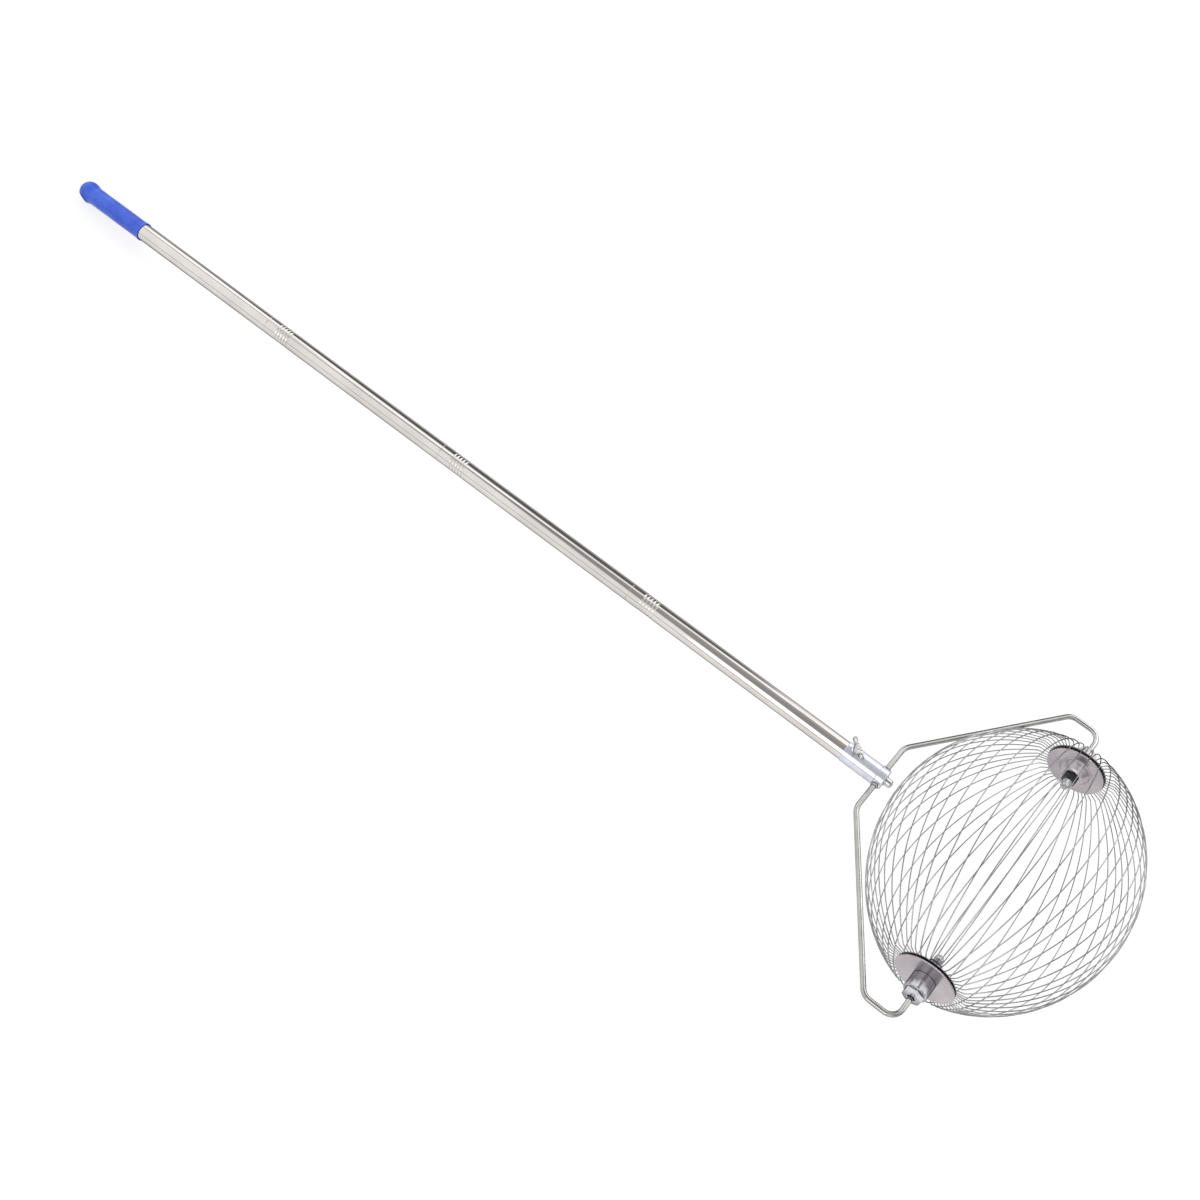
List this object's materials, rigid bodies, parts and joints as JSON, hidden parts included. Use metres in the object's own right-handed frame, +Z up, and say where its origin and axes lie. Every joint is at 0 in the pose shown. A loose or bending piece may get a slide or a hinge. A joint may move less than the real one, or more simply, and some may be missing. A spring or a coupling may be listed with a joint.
{
  "type": "nut gatherer",
  "caption": "Rolling nut gatherer: a springy wire ball that turns on a bent rod fork, carried by a pole of screwed tube sections with a plastic grip to hang it by.",
  "frame": {"origin": "on the ground, under the middle of the tool as it lies, half way along it", "axes": "+X from the grip towards the wire ball, +Y along the axle of the ball, +Z up"},
  "size_m": [1.5459, 0.4324, 0.2722],
  "materials": {
    "grip": "satin moulded plastic",
    "tube": "polished stainless steel",
    "insert": "turned alloy",
    "socket": "satin alloy",
    "bright": "bright plated steel",
    "rod": "drawn steel rod",
    "wire": "spring steel wire",
    "plate": "satin pressed steel",
    "holder": "black moulded plastic",
    "dark": "blackened steel"
  },
  "bodies": {
    "pole": {"end_grip": "grip", "tube_section_1": "tube", "tube_section_2": "tube", "tube_section_3": "tube", "tube_section_4": "tube", "joint_stud_1": "insert", "joint_stud_2": "insert", "joint_stud_3": "insert", "joint_socket_1": "insert", "joint_socket_2": "insert", "joint_socket_3": "insert", "fork_socket": "socket", "fork_ferrule": "socket", "clamp_screw": "bright", "wing_nut_boss": "bright"},
    "fork": {"fork_rod": "rod", "fork_collars": "rod", "rod_retainer_left": "bright", "rod_retainer_right": "bright"},
    "cage": {"cage_wires_1": "wire", "cage_wires_2": "wire", "cage_wires_3": "wire", "cage_wires_4": "wire", "outer_plate_left": "plate", "outer_plate_right": "plate", "inner_plate_left": "plate", "inner_plate_right": "plate", "wire_holder_left": "holder", "wire_holder_right": "holder", "hub_bush_left": "bright", "hub_bush_right": "bright", "lock_nut_left": "dark", "lock_nut_right": "dark"},
    "screw_stud": {"wing_stud": "bright"},
    "screw_head": {"wing_head": "bright"}
  },
  "joints": [
    {"name": "fork_tilt", "type": "hinge", "parent": "pole", "child": "fork", "pos_m": [0.48036, 0, 0.12238], "axis": [0, 1, 0], "range_deg": [-58, 90]},
    {"name": "cage_spin", "type": "hinge", "parent": "fork", "child": "cage", "pos_m": [0.63677, 0, 0.13605], "axis": [0, 1, 0], "continuous": true},
    {"name": "screw_travel", "type": "slide", "parent": "pole", "child": "screw_stud", "axis": [-0.0871, 0, 0.9962], "range_m": [0, 0.0021]},
    {"name": "screw_turn", "type": "hinge", "parent": "screw_stud", "child": "screw_head", "pos_m": [0.44326, 0, 0.13921], "axis": [-0.0871, 0, 0.9962], "range_deg": [0, 720]}
  ],
  "couplings": [
    {"joint": "screw_travel", "follows": "screw_turn", "m_per_rad": 0.00015915}
  ]
}
